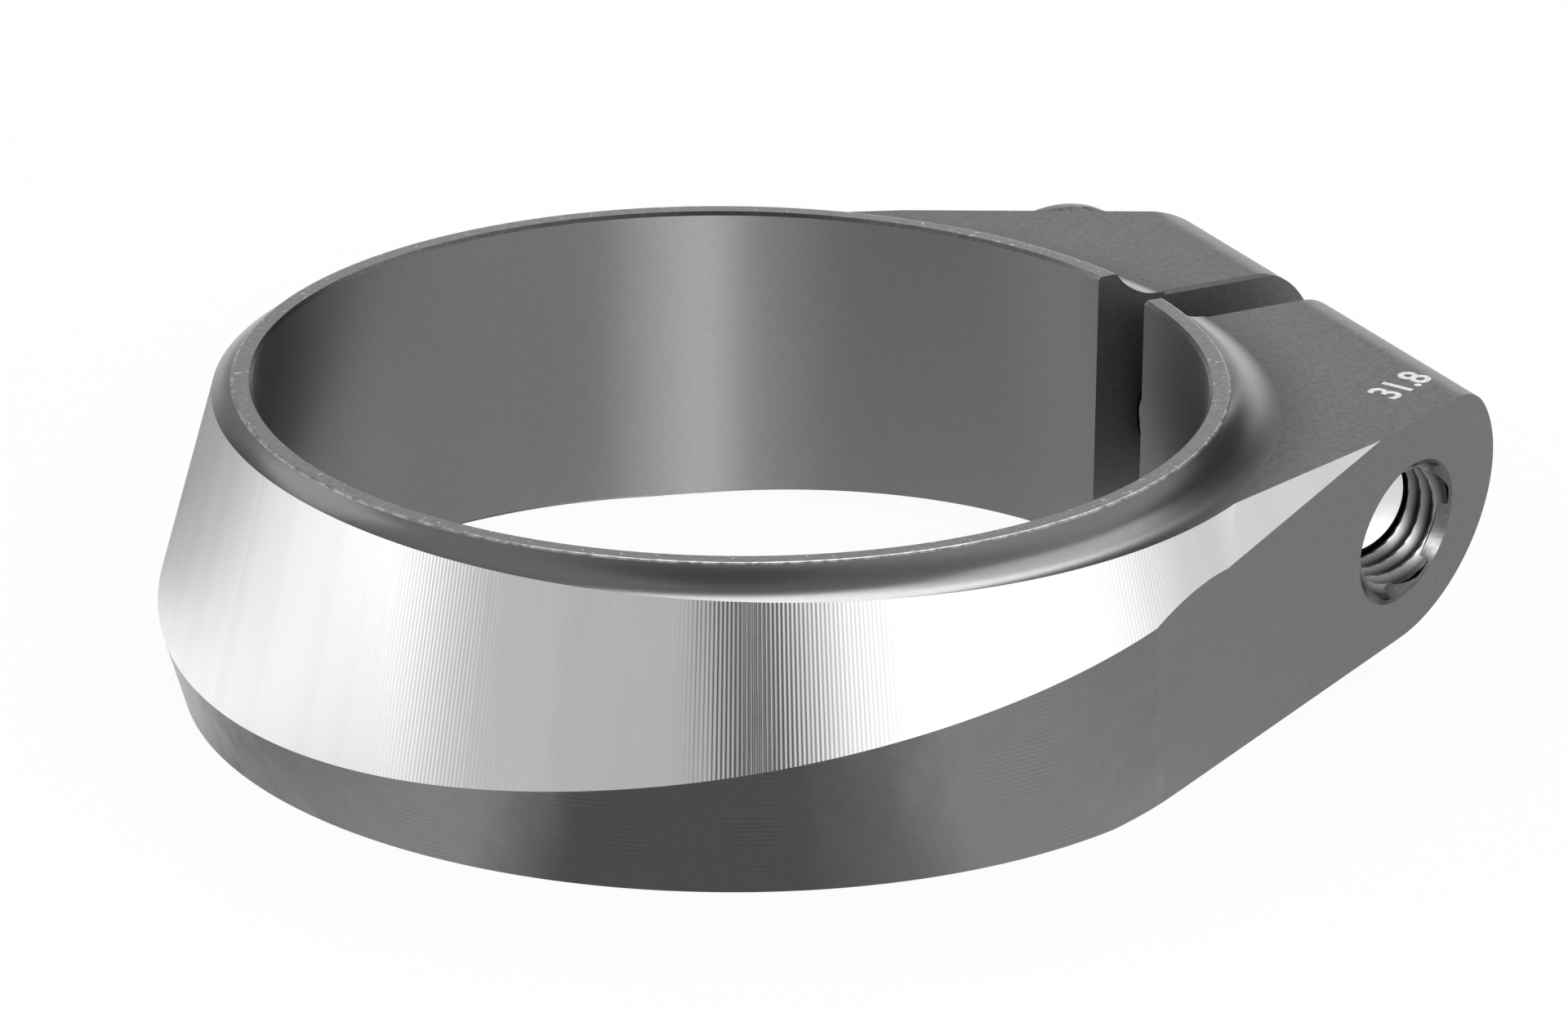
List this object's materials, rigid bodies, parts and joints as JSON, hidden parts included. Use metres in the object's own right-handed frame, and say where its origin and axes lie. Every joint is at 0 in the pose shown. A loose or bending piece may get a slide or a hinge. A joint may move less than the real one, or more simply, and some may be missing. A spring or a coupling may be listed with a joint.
{
  "type": "seatpost clamp",
  "caption": "Split ring clamp with a flared outside, a coved lip and a pair of ears that a socket-head screw draws together to grip a tube.",
  "frame": {"origin": "on the bore axis, at the underside of the ring", "axes": "+Z along the bore towards the lip, +X along the slot towards the ears, +Y along the screw towards its head"},
  "size_m": [0.0438, 0.0386, 0.0106],
  "materials": {
    "collar": "grey anodised and bead blasted, with a bare milled band",
    "bolt": "dark grey coated steel, bare at the cut tip"
  },
  "bodies": {
    "collar": {"collar": "collar"},
    "bolt": {"bolt": "bolt"}
  },
  "joints": [
    {"name": "bolt_turn", "type": "hinge", "parent": "collar", "child": "bolt", "pos_m": [0.01985, 0.0085, 0.0054], "axis": [0, 1, 0], "range_deg": [0, 990]}
  ]
}
